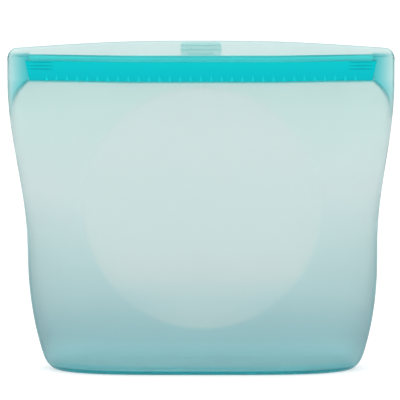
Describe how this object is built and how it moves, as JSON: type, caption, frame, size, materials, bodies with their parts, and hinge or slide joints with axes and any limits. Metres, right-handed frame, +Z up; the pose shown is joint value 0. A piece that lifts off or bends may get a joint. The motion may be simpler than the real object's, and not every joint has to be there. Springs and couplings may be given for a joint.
{
  "type": "reusable silicone storage bag",
  "caption": "Stand-up food storage bag of frosted translucent silicone, with a flat rounded base, a press-to-close zip under flared lips and a ribbed pull tab.",
  "frame": {"origin": "on the surface that the bag stands on, under the middle of the bag", "axes": "+X across the bag towards its right side seam, +Y from the front wall to the back wall, +Z up"},
  "size_m": [0.2054, 0.0602, 0.174],
  "materials": {
    "wall_silicone": "frosted translucent",
    "band_silicone": "frosted translucent",
    "base_silicone": "frosted translucent",
    "zip_silicone": "satin"
  },
  "bodies": {
    "root": {"base_floor": "base_silicone", "base_rim": "base_silicone", "left_side_wall": "wall_silicone", "right_side_wall": "wall_silicone", "left_zip_end": "band_silicone", "right_zip_end": "band_silicone", "front_band_left_end": "band_silicone", "zip_channel_left_end": "zip_silicone", "front_band_right_end": "band_silicone", "zip_channel_right_end": "zip_silicone", "back_band_left_end": "band_silicone", "zip_rail_left_end": "zip_silicone", "back_band_right_end": "band_silicone", "zip_rail_right_end": "zip_silicone"},
    "front_left": {"front_wall_left": "wall_silicone", "front_band_left": "band_silicone", "zip_channel_left": "zip_silicone"},
    "front_centre": {"front_wall_centre": "wall_silicone", "front_band_centre": "band_silicone", "zip_channel_centre": "zip_silicone"},
    "front_right": {"front_wall_right": "wall_silicone", "front_band_right": "band_silicone", "zip_channel_right": "zip_silicone"},
    "back_left": {"back_wall_left": "wall_silicone", "back_band_left": "band_silicone", "zip_rail_left": "zip_silicone"},
    "back_centre": {"back_wall_centre": "wall_silicone", "back_band_centre": "band_silicone", "zip_rail_centre": "zip_silicone", "pull_tab": "band_silicone", "pull_tab_ribs": "band_silicone"},
    "back_right": {"back_wall_right": "wall_silicone", "back_band_right": "band_silicone", "zip_rail_right": "zip_silicone"}
  },
  "joints": [
    {"name": "front_centre_flex", "type": "hinge", "parent": "root", "child": "front_centre", "pos_m": [0, -0.0293, 0.01], "axis": [1, 0, 0], "range_deg": [-2.6, 9], "stiffness_Nm_per_rad": 0.6},
    {"name": "front_left_flex", "type": "hinge", "parent": "root", "child": "front_left", "pos_m": [0, -0.0293, 0.01], "axis": [1, 0, 0], "range_deg": [-1.3, 4.5], "stiffness_Nm_per_rad": 0.2},
    {"name": "front_right_flex", "type": "hinge", "parent": "root", "child": "front_right", "pos_m": [0, -0.0293, 0.01], "axis": [1, 0, 0], "range_deg": [-1.3, 4.5], "stiffness_Nm_per_rad": 0.2},
    {"name": "back_centre_flex", "type": "hinge", "parent": "root", "child": "back_centre", "pos_m": [0, 0.0293, 0.01], "axis": [-1, 0, 0], "range_deg": [-2.6, 9], "stiffness_Nm_per_rad": 0.6},
    {"name": "back_left_flex", "type": "hinge", "parent": "root", "child": "back_left", "pos_m": [0, 0.0293, 0.01], "axis": [-1, 0, 0], "range_deg": [-1.3, 4.5], "stiffness_Nm_per_rad": 0.2},
    {"name": "back_right_flex", "type": "hinge", "parent": "root", "child": "back_right", "pos_m": [0, 0.0293, 0.01], "axis": [-1, 0, 0], "range_deg": [-1.3, 4.5], "stiffness_Nm_per_rad": 0.2}
  ],
  "couplings": [
    {"joint": "front_left_flex", "follows": "front_centre_flex", "ratio": 0.5},
    {"joint": "front_right_flex", "follows": "front_centre_flex", "ratio": 0.5},
    {"joint": "back_left_flex", "follows": "back_centre_flex", "ratio": 0.5},
    {"joint": "back_right_flex", "follows": "back_centre_flex", "ratio": 0.5}
  ]
}
